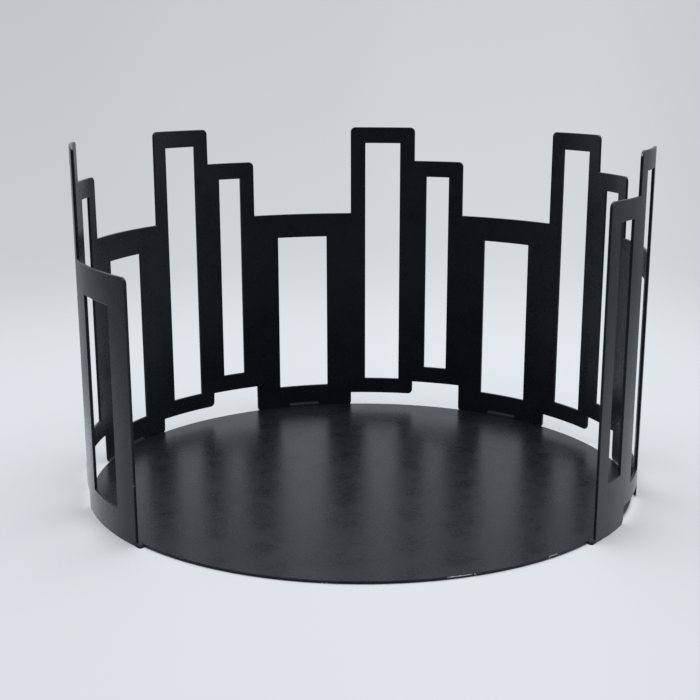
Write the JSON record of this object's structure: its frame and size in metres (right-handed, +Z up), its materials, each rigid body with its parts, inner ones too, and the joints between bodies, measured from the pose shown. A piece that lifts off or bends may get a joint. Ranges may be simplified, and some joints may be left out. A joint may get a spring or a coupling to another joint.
{
  "type": "plate stand",
  "caption": "Round tabletop stand that holds a stack of dinner plates: a rolled skyline band of windowed sheet-steel frames, open at the front, welded round a flat disc base.",
  "frame": {"origin": "centre of the base disc's underside, on the axis of the rolled band, at table level", "axes": "+Z up, the open front faces -Y, +X is the right side as seen from the open front"},
  "size_m": [0.3, 0.2975, 0.185],
  "materials": {
    "band_powder_coat": "satin black powder coat with a fine texture on sheet steel, chipped to bare metal at a few edges",
    "base_powder_coat": "satin black powder coat on sheet steel, worn to a thin bright line along the front rim",
    "weld_powder_coat": "small weld beads under the same satin black powder coat"
  },
  "bodies": {
    "root": {"rolled_skyline_band": "band_powder_coat", "base_disc": "base_powder_coat", "foot_weld_1": "weld_powder_coat", "foot_weld_2": "weld_powder_coat", "foot_weld_3": "weld_powder_coat", "foot_weld_4": "weld_powder_coat", "foot_weld_5": "weld_powder_coat", "end_foot_weld": "weld_powder_coat", "left_end_tack": "weld_powder_coat", "right_end_tack": "weld_powder_coat"}
  },
  "joints": []
}
